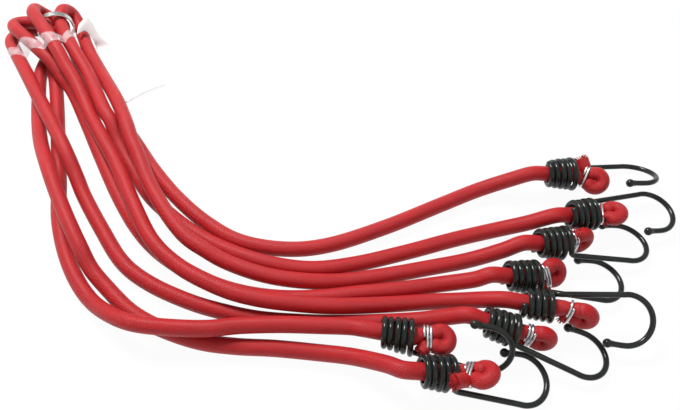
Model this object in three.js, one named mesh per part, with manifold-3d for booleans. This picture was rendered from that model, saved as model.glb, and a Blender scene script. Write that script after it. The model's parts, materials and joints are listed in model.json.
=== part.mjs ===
// Octopus strap: four elastic cords folded in half make eight hooked arms, held together by one steel ring.
// Millimetres, +Z up. The strap lies on the floor (z = 0) with its fold at the back left, hooks to the right.
import * as THREE from "three";
import Module from "manifold-3d";

const manifold = await Module();
manifold.setup();

// Elastic cord: a braided cover round a rubber core
const CORD_DIAMETER = 7.8;
const COVER_WALL = 1;
const CORE_CLEARANCE = 0.3;
const COVER_SIDES = 8;
const CORE_SIDES = 5;
const TURN_PER_STEP = THREE.MathUtils.degToRad(32);
const SHORTEST_EDGE = 0.01;
const MERGE_PLACES = 4;
const ROUTE_TENSION = 0.5;

// End of each cord, drawn out thinner and doubled back into a loop that can't slip through its coil
const LOOP_DIAMETER = 6;
const LOOP_COVER_WALL = 0.9;
const LOOP_BEND_RADIUS = 3.3;
const LOOP_BEND_STEPS = 5;
const LOOP_START = 3;
const LOOP_SPREAD_SHARES = [[0.15, 0.35], [0.58, 0.88]];
const TAIL_LENGTH = 8.4;
const TAIL_SEAT_SHARE = 0.38;
const TAIL_CLEARANCE = 1.2;
const TAIL_SLOPE_SHARE = 0.25;
const CLIP_SEAT_SHARE = 0.5;

// Clip of bright steel wire wound round both strands of an end loop
const CLIP_WIRE_DIAMETER = 1.6;
const CLIP_PITCH = 2;
const CLIP_CLEARANCE = 0.5;
const CLIP_STEPS = 12;
const CLIP_SIDES = 5;
const CLIP_EXTRA_TURN_SHARE = 0.15;
const LONG_LOOP = 8;

// Hook: plastic-coated spring wire, a conical coil that grips the cord, a shank, a round bend and a tip leg
const WIRE_DIAMETER = 2.9;
const WIRE_SIDES = 5;
const COIL_TURNS = 4.2;
const COIL_STEPS = 8;
const COIL_LENGTH = 14;
const COIL_ENTRY_RADIUS = 6;
const COIL_LAST_ANGLE = THREE.MathUtils.degToRad(70);
const SHANK_FILLET = 2.6;
const SHANK_KNEE = 0.8;
const SHANK_OFFSET = 11;
const BEND_DISTANCE = 46.5;
const BEND_RADIUS = 11.5;
const BEND_STEPS = 8;
const CHECKS_PER_STEP = 4;
const TIP_LEG = 7;
const CAP_DIAMETER = 4.6;
const CAP_LENGTH = 5;
const CAP_DEPTH = 3.5;
const CAP_CLEARANCE = 0.3;
const CAP_SIDES = 8;

// The cord runs straight for this far before it enters a coil and past the coil's far end
const LEAD_IN = 8;
const LEAD_OUT = 1.5;
const LOOP_ROOT = 3;

// Ring round the inner legs of the four folds
const RING_INNER_RADIUS = 10.2;
const RING_THICKNESS = 0.8;
const RING_WIDTH = 3;
const RING_SIDES = 28;
const RING_CENTRE = [-174.4, 125, 10.9];
const RING_HEADING = THREE.MathUtils.degToRad(-68.8);

// Clear adhesive band over the outer legs: its centre line, and the heading of its width
const TAPE_WIDTH = 10;
const TAPE_THICKNESS = 0.4;
const TAPE_ROUTE = [
  [-196.8, 99, 7.5], [-195.4, 99.7, 12.6], [-191.6, 101.2, 14.3], [-186.6, 102.2, 21.4], [-181.5, 103.8, 22.5],
  [-173.5, 103, 28], [-168, 101.9, 28.6], [-163.5, 103.7, 27.2], [-159.8, 107.5, 20.8], [-157, 110.3, 17.5],
  [-156, 111.8, 12.5],
];

// Blank swing tag of white card, from its lifted end to its flat end: points on its left and right edges
const TAG_THICKNESS = 0.5;
const TAG_EDGES = [
  [[-156.5, 118.5, 8.8], [-155.5, 131, 13]],
  [[-151.3, 116.3, 8.6], [-149, 127.5, 8.5]],
  [[-147.8, 113.2, 4], [-143.5, 122.5, 4.2]],
  [[-145.5, 109.8, 0.8], [-137, 117.5, 0.8]],
  [[-125, 72, 0.8], [-104, 87, 0.8]],
];

// Place of each hook: the point where the cord enters its coil, the coil's heading, slope, roll about the
// cord and radius at its far end, and its end loop's length, heading, rise and twist, with the tail's side
const HOOKS = [
  { entry: [107.5, 11.5, 12], yaw: 3, pitch: -4.5, roll: -30, flare: 7.8,
    loop: { length: 9, yaw: -30, rise: 0, twist: 0, tail: 1 } },
  { entry: [113.5, -15.5, 13.5], yaw: 9.5, pitch: -9.5, roll: 0, flare: 7.4,
    loop: { length: 6.4, yaw: -16, rise: 20, twist: 150, tail: 1 } },
  { entry: [96, -31, 12], yaw: 6, pitch: -10, roll: 172, flare: 7.8,
    loop: { length: 6, yaw: 16, rise: 4, twist: 75, tail: 1 } },
  { entry: [78.5, -49, 12], yaw: 2, pitch: -10, roll: 174, flare: 7.6,
    loop: { length: 7, yaw: 24, rise: 4, twist: 0, tail: -1 } },
  { entry: [83, -64.5, 15], yaw: -9.5, pitch: -1.5, roll: 33, flare: 6.4,
    loop: { length: 10, yaw: -12, rise: 0, twist: 80, tail: -1 } },
  { entry: [65, -73, 13.5], yaw: -15.5, pitch: -11.5, roll: 172, flare: 7,
    loop: { length: 9.5, yaw: 4, rise: 4, twist: 80, tail: -1 } },
  { entry: [18.5, -77.5, 12], yaw: -10.5, pitch: -1.5, roll: 236, flare: 7.6,
    loop: { length: 9.5, yaw: 8, rise: 0, twist: 0, tail: -1 } },
  { entry: [34.5, -97, 14.5], yaw: -0.5, pitch: -12, roll: 183, flare: 7.6,
    loop: { length: 11.5, yaw: -14, rise: 41, twist: -15, tail: -1 } },
];

// Route of each cord from one hook's coil over the fold to the other's, chosen to follow the real lie
const CORDS = [
  { name: "a", from: 2, to: 3, points: [
    [93, -18, 10], [75.5, -19.5, 5], [56.5, -24, 4], [32, -31.5, 4], [7.5, -38, 4], [-14.5, -41, 4.5],
    [-36.5, -38, 5.5], [-56.5, -30.5, 5.5], [-72.5, -21, 5], [-86.5, -9.5, 4], [-100, 4, 4], [-113.5, 24.5, 4],
    [-121.5, 37.5, 6.5], [-126, 48, 11.5], [-132, 57.5, 12.5], [-144.5, 81.5, 12.5], [-156, 99.5, 15.5],
    [-164, 112.5, 15.5], [-170.8, 126, 14.8], [-171.5, 132.5, 15.5], [-171.5, 137, 14.5], [-170, 140.5, 11],
    [-167.5, 140, 7], [-163, 132.5, 4], [-154, 113, 4], [-142, 92.5, 5], [-126.5, 65.5, 11.5],
    [-117, 46, 14], [-111.5, 33, 14],
    [-106, 22, 13], [-98.5, 6, 12.5], [-87.5, -12, 12.5], [-76, -26.5, 12], [-65.5, -34, 11], [-54, -40, 9],
    [-37, -46, 8], [-19, -48.5, 6.5], [0, -47.5, 4], [21.5, -44.5, 4], [44, -40, 4], [62.5, -36.5, 5],
    [78.5, -34, 10],
  ] },
  { name: "b", from: 1, to: 5, points: [
    [89.5, 9.5, 10], [72, 6, 5], [51.5, -3, 4], [23, -16.5, 4], [-5, -27, 4], [-27, -29.5, 4], [-50, -25, 4],
    [-68.5, -13.5, 4], [-85.5, 2.5, 4], [-100.5, 21, 4], [-111, 36.5, 4], [-118.5, 46.5, 4], [-129.5, 56, 4],
    [-139.5, 68.5, 4], [-151, 89.5, 4], [-163, 113, 5.5], [-170.7, 126, 6.8], [-173.5, 133, 7],
    [-179.5, 136, 8.5], [-184, 135.8, 12.9], [-186.2, 133.2, 18.2], [-185, 127.3, 21.4], [-182, 121.4, 23.8],
    [-175, 111.5, 24], [-163.5, 95, 22], [-157.5, 85.5, 18.5], [-151, 76, 15.5], [-144.5, 64.5, 13],
    [-138, 52, 11.5], [-126.5, 33, 12],
    [-116, 15.5, 11.5], [-103.5, -9, 12], [-91, -30, 12], [-75.5, -44.5, 12], [-55.5, -55.5, 12],
    [-39, -60.5, 11.5], [-21, -62.5, 10], [-2.5, -63, 8.5], [21, -61, 6], [42.5, -59, 5], [56, -59.5, 7],
    [66.5, -61.5, 12],
  ] },
  { name: "c", from: 7, to: 4, points: [
    [4, -74.5, 11], [-9, -74, 11], [-27, -73.5, 11], [-45, -74, 11], [-60.5, -76, 12], [-78.5, -75.5, 12.5],
    [-93.5, -73.5, 12.5], [-105.5, -67.5, 9], [-117, -58.5, 4.5], [-127, -46.5, 4], [-136, -30.5, 4],
    [-143.5, -11, 4], [-149, 13.5, 4], [-155, 37.5, 4], [-161.5, 63.5, 4], [-167, 84, 4.5], [-170, 94.5, 8],
    [-172.5, 109, 13], [-178.5, 123, 14.5], [-183, 127, 12.9], [-188.6, 128.4, 12.1], [-193.6, 128.6, 12],
    [-197.2, 126.6, 12.9], [-197.9, 122.8, 14.6], [-195.4, 118.2, 16.2], [-189.8, 112.2, 17.5],
    [-174.3, 97.3, 17], [-166.5, 90, 14], [-160, 82, 10], [-153, 73, 6.5],
    [-141.5, 51.5, 4], [-129.5, 28.5, 4], [-115, 2, 4], [-101, -19, 4], [-86, -34, 4], [-65, -47, 4],
    [-47.5, -53.5, 4], [-28.5, -56.5, 4], [-9.5, -56.5, 4.5], [9.5, -54.5, 5], [28.5, -52.5, 5],
    [47.5, -50, 5.5], [63, -50, 10],
  ] },
  { name: "d", from: 8, to: 6, points: [
    [19.5, -93, 13], [5.5, -87, 6.5], [-10, -84, 4], [-29.5, -82, 4], [-47.5, -81, 4], [-64.5, -78.5, 4],
    [-83, -72, 4], [-98, -63.5, 4], [-111.5, -51, 4], [-120.5, -41.5, 6], [-126.5, -32, 10.5],
    [-136, -16, 12.5], [-145, 0.5, 12.5], [-153.5, 17, 12], [-163, 36, 7.5], [-170, 54.5, 4], [-174.5, 73, 4],
    [-178, 92, 4], [-176, 108, 5.5], [-177.5, 119.5, 6.6], [-178.8, 125.5, 6.6], [-183.5, 129.5, 4.8],
    [-190, 131, 4], [-197, 129.5, 4],
    [-201.5, 124.5, 4.5], [-201.5, 118, 6], [-197, 109.5, 7.5], [-181.5, 84.5, 11.5], [-168, 62.5, 12.5],
    [-155.5, 42.5, 12.5],
    [-146, 26.5, 12], [-139, 13.5, 7.5], [-133, 2, 4.5], [-120.5, -17.5, 4], [-106.5, -37, 4], [-91, -49, 4],
    [-71, -58.5, 4], [-53.5, -64, 4], [-37, -67.5, 4], [-18.5, -69, 4], [0, -69.5, 4], [18.5, -69, 4],
    [36, -69, 6], [50, -70, 12],
  ] },
];

function material(color, roughness, metalness) {
  return new THREE.MeshStandardMaterial({ color, roughness, metalness });
}

const COVER_RED = material(0xc9303a, 0.75, 0);
const CORE_CREAM = material(0xd9c39a, 0.8, 0);
const HOOK_BLACK = material(0x23272a, 0.3, 0);
const BRIGHT_STEEL = material(0xc8cacb, 0.25, 0.9);
const TAPE_CLEAR = material(0xe6b9bd, 0.2, 0);
const CARD_WHITE = material(0xf4f2ef, 0.7, 0);

const vector = ([x, y, z]) => new THREE.Vector3(x, y, z);
const rad = THREE.MathUtils.degToRad;

// three.js geometry to a manifold-3d solid, and back without the tiny edges that a cut leaves
function solidOf(geometry) {
  const flat = geometry.index ? geometry.toNonIndexed() : geometry;
  const position = flat.getAttribute("position");
  const seen = new Map();
  const vertices = [];
  const triangles = new Uint32Array(position.count);
  for (let i = 0; i < position.count; i += 1) {
    const corner = [position.getX(i), position.getY(i), position.getZ(i)];
    const key = corner.map((value) => value.toFixed(MERGE_PLACES)).join();
    if (!seen.has(key)) {
      seen.set(key, vertices.length / 3);
      vertices.push(...corner);
    }
    triangles[i] = seen.get(key);
  }
  return new manifold.Manifold(
    new manifold.Mesh({ numProp: 3, vertProperties: new Float32Array(vertices), triVerts: triangles }),
  );
}

function geometryOf(solid) {
  const mesh = solid.simplify(SHORTEST_EDGE).getMesh();
  const geometry = new THREE.BufferGeometry();
  geometry.setAttribute("position", new THREE.BufferAttribute(mesh.vertProperties, mesh.numProp));
  geometry.setIndex(new THREE.BufferAttribute(mesh.triVerts, 1));
  geometry.computeVertexNormals();
  return geometry;
}

// A smooth curve through its points whose steps fall on the points, with more steps where it turns more
class Route extends THREE.CatmullRomCurve3 {
  constructor(points) {
    super(points, false, "catmullrom", ROUTE_TENSION);
    const spans = points.length - 1;
    this.stops = [0];
    for (let i = 0; i < spans; i += 1) {
      const turn = this.getTangent(i / spans).angleTo(this.getTangent((i + 1) / spans));
      const steps = Math.max(1, Math.ceil(turn / TURN_PER_STEP));
      for (let k = 1; k <= steps; k += 1) this.stops.push((i + k / steps) / spans);
    }
  }

  getUtoTmapping(u) {
    return this.stops[Math.round(u * (this.stops.length - 1))];
  }
}

function polygon(diameter, sides) {
  const corners = [];
  for (let i = 0; i < sides; i += 1) {
    const angle = (i / sides) * 2 * Math.PI;
    corners.push(new THREE.Vector2(Math.cos(angle), Math.sin(angle)).multiplyScalar(diameter / 2));
  }
  return new THREE.Shape(corners);
}

function cordSolid(route, diameter, sides) {
  const steps = route.stops.length - 1;
  const options = { extrudePath: route, steps, curveSegments: 1 };
  return solidOf(new THREE.ExtrudeGeometry(polygon(diameter, sides), options));
}

// A round wire through a list of centres, as one tube with closed ends
function wireTube(centres, diameter, sides) {
  const positions = [];
  const index = [];
  const last = centres.length - 1;
  const heading = (i) =>
    new THREE.Vector3().subVectors(centres[Math.min(i + 1, last)], centres[Math.max(i - 1, 0)]).normalize();
  let before = heading(0);
  const nearlyAlongX = Math.abs(before.x) > Math.abs(before.y);
  const aside = nearlyAlongX ? new THREE.Vector3(0, 1, 0) : new THREE.Vector3(1, 0, 0);
  const normal = new THREE.Vector3().crossVectors(before, aside).normalize();
  for (let i = 0; i <= last; i += 1) {
    const along = heading(i);
    normal.applyQuaternion(new THREE.Quaternion().setFromUnitVectors(before, along));
    const across = new THREE.Vector3().crossVectors(along, normal);
    for (let k = 0; k < sides; k += 1) {
      const angle = (k / sides) * 2 * Math.PI;
      const corner = centres[i].clone();
      corner.addScaledVector(normal, (Math.cos(angle) * diameter) / 2);
      corner.addScaledVector(across, (Math.sin(angle) * diameter) / 2);
      positions.push(corner.x, corner.y, corner.z);
    }
    before = along;
  }
  for (let i = 0; i < last; i += 1) {
    for (let k = 0; k < sides; k += 1) {
      const a = i * sides + k;
      const b = i * sides + ((k + 1) % sides);
      index.push(a, b, b + sides, a, b + sides, a + sides);
    }
  }
  for (let k = 1; k < sides - 1; k += 1) {
    index.push(0, k + 1, k);
    index.push(last * sides, last * sides + k, last * sides + k + 1);
  }
  const geometry = new THREE.BufferGeometry();
  geometry.setAttribute("position", new THREE.Float32BufferAttribute(positions, 3));
  geometry.setIndex(index);
  geometry.computeVertexNormals();
  return geometry;
}

// Least distance between the surfaces of a tube's far-apart stretches, from its centre line
function leastSelfGap(centres, diameter, apart) {
  let least = Infinity;
  centres.forEach((a, i) => {
    for (let k = i + apart; k < centres.length; k += 1) least = Math.min(least, a.distanceTo(centres[k]));
  });
  return least - diameter;
}

// A strip of even thickness between two edges, each a list of points
function stripGeometry(edges, thickness) {
  const positions = [];
  const index = [];
  const last = edges.length - 1;
  edges.forEach(([left, right], i) => {
    const along = vector(edges[Math.min(i + 1, last)][0]).sub(vector(edges[Math.max(i - 1, 0)][0]));
    const across = vector(right).sub(vector(left));
    const half = along.cross(across).setLength(thickness / 2);
    for (const [edge, side] of [[left, 1], [right, 1], [right, -1], [left, -1]]) {
      positions.push(...vector(edge).addScaledVector(half, side).toArray());
    }
  });
  // The upper and the lower side are cut along the same diagonal, so a twisted strip keeps its thickness
  const corners = 4;
  const lowerSide = 2;
  for (let i = 0; i < last; i += 1) {
    for (let k = 0; k < corners; k += 1) {
      const a = i * corners + k;
      const b = i * corners + ((k + 1) % corners);
      if (k === lowerSide) index.push(a, a + corners, b, a + corners, b + corners, b);
      else index.push(a, b + corners, b, a, a + corners, b + corners);
    }
  }
  for (let k = 1; k < corners - 1; k += 1) {
    index.push(0, k, k + 1);
    index.push(last * corners, last * corners + k + 1, last * corners + k);
  }
  const geometry = new THREE.BufferGeometry();
  geometry.setAttribute("position", new THREE.Float32BufferAttribute(positions, 3));
  geometry.setIndex(index);
  geometry.computeVertexNormals();
  return geometry;
}

// Centre line of a hook in its own frame: x along the cord, y towards the shank
function hookLine(flare, checksPerStep = 1) {
  const line = [];
  const coilSteps = Math.round(COIL_TURNS * COIL_STEPS) * checksPerStep;
  for (let i = 0; i <= coilSteps; i += 1) {
    const share = i / coilSteps;
    const angle = COIL_LAST_ANGLE - (1 - share) * COIL_TURNS * 2 * Math.PI;
    const radius = THREE.MathUtils.lerp(COIL_ENTRY_RADIUS, flare, share);
    line.push(new THREE.Vector3(COIL_LENGTH * share, radius * Math.sin(angle), -radius * Math.cos(angle)));
  }
  line.push(new THREE.Vector3(COIL_LENGTH + SHANK_KNEE, flare, -SHANK_KNEE));
  line.push(new THREE.Vector3(COIL_LENGTH + SHANK_FILLET, flare, 0));
  line.push(new THREE.Vector3(BEND_DISTANCE, SHANK_OFFSET, 0));
  const bendCentre = SHANK_OFFSET - BEND_RADIUS;
  for (let i = 1; i <= BEND_STEPS; i += 1) {
    const angle = (i / BEND_STEPS) * Math.PI;
    line.push(new THREE.Vector3(
      BEND_DISTANCE + BEND_RADIUS * Math.sin(angle),
      bendCentre + BEND_RADIUS * Math.cos(angle),
      0,
    ));
  }
  line.push(new THREE.Vector3(BEND_DISTANCE - TIP_LEG, bendCentre - BEND_RADIUS, 0));
  return line;
}

function capGeometry() {
  const outer = CAP_DIAMETER / 2;
  const inner = WIRE_DIAMETER / 2 + CAP_CLEARANCE;
  const dome = outer * Math.SQRT1_2;
  const profile = [
    [0, CAP_LENGTH], [dome, CAP_LENGTH - outer + dome], [outer, CAP_LENGTH - outer], [outer, 0],
    [inner, 0], [inner, CAP_DEPTH], [0, CAP_DEPTH],
  ];
  return new THREE.LatheGeometry(profile.map(([r, y]) => new THREE.Vector2(r, y)).reverse(), CAP_SIDES);
}

// Frame of a hook's coil without its roll, and of its end loop, as matrices in the part's millimetres
function axisFrame({ entry, yaw, pitch }) {
  const turn = new THREE.Euler(0, rad(-pitch), rad(yaw), "ZYX");
  return new THREE.Matrix4().makeRotationFromEuler(turn).setPosition(vector(entry));
}

function loopFrame(hook) {
  const { yaw, rise, twist } = hook.loop;
  const turn = new THREE.Euler(rad(twist), rad(-rise), rad(yaw), "ZYX");
  const step = new THREE.Matrix4().makeRotationFromEuler(turn).setPosition(COIL_LENGTH + LOOP_ROOT, 0, 0);
  return axisFrame(hook).multiply(step);
}

// Centre line of an end loop: out beside the axis, round the bend and back to a cut tail
function loopRoute(hook, overrun = 0) {
  const { length, tail } = hook.loop;
  const line = [[-LOOP_START, 0]];
  for (const [along, aside] of LOOP_SPREAD_SHARES) line.push([length * along, LOOP_BEND_RADIUS * aside]);
  for (let i = 0; i <= LOOP_BEND_STEPS; i += 1) {
    const angle = (i / LOOP_BEND_STEPS) * Math.PI;
    line.push([length + LOOP_BEND_RADIUS * Math.sin(angle), LOOP_BEND_RADIUS * Math.cos(angle)]);
  }
  const seat = length * TAIL_SEAT_SHARE;
  const spread = (x) => -LOOP_BEND_RADIUS - TAIL_SLOPE_SHARE * (seat - x);
  const end = Math.max(length - TAIL_LENGTH, TAIL_CLEARANCE);
  line.push([seat, spread(seat)], [end, spread(end)]);
  if (overrun > 0) line.push([end - overrun, spread(end - overrun)]);
  const frame = loopFrame(hook);
  return new Route(line.map(([x, y]) => new THREE.Vector3(x, -tail * y, 0).applyMatrix4(frame)));
}

// Centre line of a clip: a helix of stadium turns round both strands
function clipLine(hook) {
  const { length } = hook.loop;
  const turns = length > LONG_LOOP ? 2 : 1;
  const reach = LOOP_DIAMETER / 2 + CLIP_CLEARANCE + CLIP_WIRE_DIAMETER / 2;
  const frame = loopFrame(hook);
  const line = [];
  const steps = Math.round((turns + CLIP_EXTRA_TURN_SHARE) * CLIP_STEPS);
  for (let i = 0; i <= steps; i += 1) {
    const angle = (i / CLIP_STEPS) * 2 * Math.PI;
    const side = Math.sign(Math.sin(angle + Math.PI / CLIP_STEPS / 2));
    const x = length * CLIP_SEAT_SHARE + (i / steps - 1 / 2) * turns * CLIP_PITCH;
    const y = side * LOOP_BEND_RADIUS + reach * Math.sin(angle);
    line.push(new THREE.Vector3(x, y, reach * Math.cos(angle)).applyMatrix4(frame));
  }
  return line;
}

const strap = new THREE.Group();

function add(name, geometry, look, parent = strap) {
  const mesh = new THREE.Mesh(geometry, look);
  mesh.name = name;
  parent.add(mesh);
  return mesh;
}

// Cords: cover and core, each one piece from tail to tail
for (const { name, from, to, points } of CORDS) {
  const hooks = [from, to].map((number) => HOOKS[number - 1]);
  const join = ({ diameter, loopDiameter, sides, inset = 0, overrun = 0 }) => {
    const ends = hooks.map((hook) => [COIL_LENGTH + LEAD_OUT - inset, 0, -LEAD_IN].map((x) =>
      new THREE.Vector3(x, 0, 0).applyMatrix4(axisFrame(hook))));
    const route = new Route([...ends[0], ...points.map(vector), ...ends[1].reverse()]);
    const loops = hooks.map((hook) => cordSolid(loopRoute(hook, overrun), loopDiameter, sides));
    return loops.reduce((solid, loop) => solid.add(loop), cordSolid(route, diameter, sides));
  };
  const bore = CORD_DIAMETER - 2 * COVER_WALL;
  const loopBore = LOOP_DIAMETER - 2 * LOOP_COVER_WALL;
  const hollow = join({
    diameter: bore, loopDiameter: loopBore, sides: CORE_SIDES, inset: COVER_WALL, overrun: CORE_CLEARANCE,
  });
  const outside = join({ diameter: CORD_DIAMETER, loopDiameter: LOOP_DIAMETER, sides: COVER_SIDES });
  const cover = outside.subtract(hollow);
  const core = join({
    diameter: bore - 2 * CORE_CLEARANCE,
    loopDiameter: loopBore - 2 * CORE_CLEARANCE,
    sides: CORE_SIDES,
    inset: COVER_WALL + CORE_CLEARANCE,
  });
  add(`cord_${name}_cover`, geometryOf(cover), COVER_RED);
  add(`cord_${name}_core`, geometryOf(core), CORE_CREAM);
}

// Hooks, tip caps and clips
HOOKS.forEach((hook, i) => {
  const number = i + 1;
  const holder = new THREE.Group();
  holder.applyMatrix4(axisFrame(hook));
  holder.rotateX(rad(hook.roll));
  strap.add(holder);
  add(`hook_${number}_wire`, wireTube(hookLine(hook.flare), WIRE_DIAMETER, WIRE_SIDES), HOOK_BLACK, holder);
  const cap = add(`hook_${number}_tip_cap`, capGeometry(), HOOK_BLACK, holder);
  cap.position.set(BEND_DISTANCE - TIP_LEG + CAP_DEPTH - CAP_CLEARANCE, SHANK_OFFSET - 2 * BEND_RADIUS, 0);
  cap.rotation.z = Math.PI / 2;
  add(`end_clip_${number}`, wireTube(clipLine(hook), CLIP_WIRE_DIAMETER, CLIP_SIDES), BRIGHT_STEEL);
});
const halfTurn = (COIL_STEPS * CHECKS_PER_STEP) / 2;
const coilGaps = HOOKS.map((hook) =>
  leastSelfGap(hookLine(hook.flare, CHECKS_PER_STEP), WIRE_DIAMETER, halfTurn));
console.log(`hook wire: least gap to itself ${Math.min(...coilGaps).toFixed(2)} mm`);

// Ring, turned half a side so that a flat side faces the floor
const ringOuter = RING_INNER_RADIUS + RING_THICKNESS;
const ringProfile = [
  [RING_INNER_RADIUS, -RING_WIDTH / 2], [ringOuter, -RING_WIDTH / 2],
  [ringOuter, RING_WIDTH / 2], [RING_INNER_RADIUS, RING_WIDTH / 2], [RING_INNER_RADIUS, -RING_WIDTH / 2],
].map(([r, y]) => new THREE.Vector2(r, y));
const ring = add(
  "centre_ring",
  new THREE.LatheGeometry(ringProfile, RING_SIDES, Math.PI / RING_SIDES),
  BRIGHT_STEEL,
);
ring.position.fromArray(RING_CENTRE);
ring.rotation.z = RING_HEADING - Math.PI / 2;

// Tape band and tag
const legHeading = new THREE.Vector3(Math.cos(RING_HEADING), Math.sin(RING_HEADING), 0);
const tapeEdges = TAPE_ROUTE.map((point) => [-1, 1].map((side) =>
  vector(point).addScaledVector(legHeading, (side * TAPE_WIDTH) / 2).toArray()));
add("tape_band", stripGeometry(tapeEdges, TAPE_THICKNESS), TAPE_CLEAR);
add("swing_tag", stripGeometry(TAG_EDGES, TAG_THICKNESS), CARD_WHITE);

// The part's origin is the middle of its underside
strap.updateMatrixWorld(true);
const box = new THREE.Box3().setFromObject(strap, true);
const middle = box.getCenter(new THREE.Vector3());
strap.position.set(-middle.x, -middle.y, -box.min.z);

export default strap;
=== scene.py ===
"""Octopus strap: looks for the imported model. Metres, +Z up; lengths are written in millimetres times MM."""
import math

import bmesh
import bpy
from mathutils import Matrix, Vector
from mathutils.bvhtree import BVHTree
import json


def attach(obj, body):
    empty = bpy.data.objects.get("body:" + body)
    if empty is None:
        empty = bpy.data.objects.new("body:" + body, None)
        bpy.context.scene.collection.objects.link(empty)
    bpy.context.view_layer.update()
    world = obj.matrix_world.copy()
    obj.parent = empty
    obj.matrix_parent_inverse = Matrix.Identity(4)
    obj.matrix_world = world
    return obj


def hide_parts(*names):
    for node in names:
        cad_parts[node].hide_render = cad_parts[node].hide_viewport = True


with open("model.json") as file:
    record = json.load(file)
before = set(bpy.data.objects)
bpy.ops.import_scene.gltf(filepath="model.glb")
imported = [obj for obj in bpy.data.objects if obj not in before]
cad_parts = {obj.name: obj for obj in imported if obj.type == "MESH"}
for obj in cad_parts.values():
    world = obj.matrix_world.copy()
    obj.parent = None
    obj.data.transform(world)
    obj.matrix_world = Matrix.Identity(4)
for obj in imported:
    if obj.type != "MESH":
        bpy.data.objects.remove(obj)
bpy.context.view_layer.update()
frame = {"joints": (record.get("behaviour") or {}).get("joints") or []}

MM = 0.001
UP = Vector((0, 0, 1))
WHITE = (1.0, 1.0, 1.0)

# The photograph's camera: height angle, distance to the middle of its view on the floor, and its lens and
# sensor in the camera's own millimetres
CAMERA_ELEVATION = math.radians(55)
CAMERA_DISTANCE = 367 * MM
CAMERA_LENS = 37.06
SENSOR_WIDTH = 36

# Floor and light: the floor's reach from its middle to each side, and lamps that shine on its middle
FLOOR_REACH = 3000 * MM
LAMPS = (
    {"name": "key_lamp", "place": (-300, 420, 750), "size": 280 * MM, "power": 10.2},
    {"name": "fill_lamp", "place": (450, -550, 600), "size": 700 * MM, "power": 0.8},
)
WORLD_STRENGTH = 0.42

# Smooth lines have this many steps from each point to the next
STEPS_PER_SPAN = 7

# Cord: it runs straight for LEAD_IN before a coil, and gives way to its end loop inside the coil's far end
CORD_DIAMETER = 7.8 * MM
CORD_SIDES = 20
LEAD_IN = 8 * MM
CORD_SETBACK = 1.5 * MM

# Hook: a coil that widens towards its far end, then shank, bend, tip leg and ball tip. The coil sways from a
# true spiral, in a phase that depends on its far radius, so that not all look alike
WIRE_DIAMETER = 2.7 * MM
WIRE_SIDES = 14
COIL_TURNS = 4.7
COIL_STEPS = 28
COIL_LENGTH = 14 * MM
COIL_ENTRY_RADIUS = 6 * MM
COIL_WOUND_SHARE = 0.965
COIL_LAST_ANGLE = math.radians(70)
COIL_SWAY = 0.12 * MM
COIL_SWAY_RATE = 0.43
SWAY_PHASE_LENGTH = 0.12 * MM
SHANK_FILLET = 2.6 * MM
SHANK_KNEE = 0.8 * MM
SHANK_OFFSET = 11 * MM
SHANK_STEPS = 9
BEND_DISTANCE = 46.5 * MM
BEND_RADIUS = 11.5 * MM
BEND_STEPS = 12
TIP_LEG = 7 * MM
LEG_END = Vector((BEND_DISTANCE - TIP_LEG, SHANK_OFFSET - 2 * BEND_RADIUS, 0))

# Ball tip: its neck fits round the wire, and inside it is hollow up to a pinhole at its pole, whose half
# angle is in radians. The hollow's depth is a share of the ball's radius, the other shares of the wire's
TIP_BALL_DIAMETER = 4.2 * MM
TIP_NECK = 2.6 * MM
TIP_SIDES = 20
TIP_RINGS = 9
PINHOLE_HALF_ANGLE = 0.12
NECK_INNER_SHARE = 0.9
NECK_OUTER_SHARE = 1.12
HOLLOW_DEPTH_SHARE = 0.6
HOLLOW_WIDTH_SHARE = 0.1

# End loop: its strand starts on the coil's axis, at ROOT_STEPS before the coil's far end, swells round the
# bulb and is pinched by the clip. Its own frame starts LOOP_ROOT past the coil
LOOP_ROOT = 3 * MM
ROOT_STEPS = (5 * MM, 0.5 * MM)
LOOP_SIDES = 24
BULB_RADIUS = 3.75 * MM
BULB_HALF_ANGLE = math.radians(125)
BULB_STEPS = 10
STRAND_RADIUS = 3.1 * MM
SWELL_RADIUS = 3.5 * MM
SWELL_REACH = 3 * MM
PINCH_RADIUS = 2.6 * MM
PINCH_REACH = 1.5 * MM
TAIL_RADIUS = 3.35 * MM

# How each end loop lies in the photograph: twist beyond the source's and splay of its tail in degrees, the
# tail's length in millimetres, its lift as a share of that length, and the turns of its clip
LOOP_LOOKS = (
    {"twist": 35, "splay": 48, "tail_length": 7, "lift_share": 0, "turns": 1},
    {"twist": 22, "splay": 76, "tail_length": 2.4, "lift_share": 0, "turns": 1},
    {"twist": 0, "splay": 76, "tail_length": 2.2, "lift_share": 0, "turns": 1},
    {"twist": 42, "splay": 76, "tail_length": 4.4, "lift_share": 0, "turns": 2},
    {"twist": 0, "splay": 48, "tail_length": 2.6, "lift_share": 0, "turns": 1},
    {"twist": 0, "splay": 48, "tail_length": 2.6, "lift_share": 0, "turns": 2},
    {"twist": 10, "splay": 52, "tail_length": 4.8, "lift_share": 0, "turns": 2},
    {"twist": 0, "splay": 66, "tail_length": 7.6, "lift_share": 0.8, "turns": 2},
)

# Frayed end of a tail: strands that vary in length, spread outwards, curl sideways and taper
FRAY_STRANDS = 30
FRAY_LENGTH = 3 * MM
FRAY_RADIUS = 0.42 * MM
FRAY_SIDES = 5
FRAY_RINGS = 5
FRAY_ROOT_SHARE = 1 / 3
FRAY_MEAN_SHARE = 0.6
FRAY_VARIED_SHARE = 0.4
FRAY_VARIED_RATE = 2.3
FRAY_SPREAD_SHARE = 0.9
FRAY_CURL_SHARE = 0.25
FRAY_CURL_RATE = 1.7
FRAY_TAPER_SHARE = 0.6
GOLDEN_ANGLE = math.radians(137.5)

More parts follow.
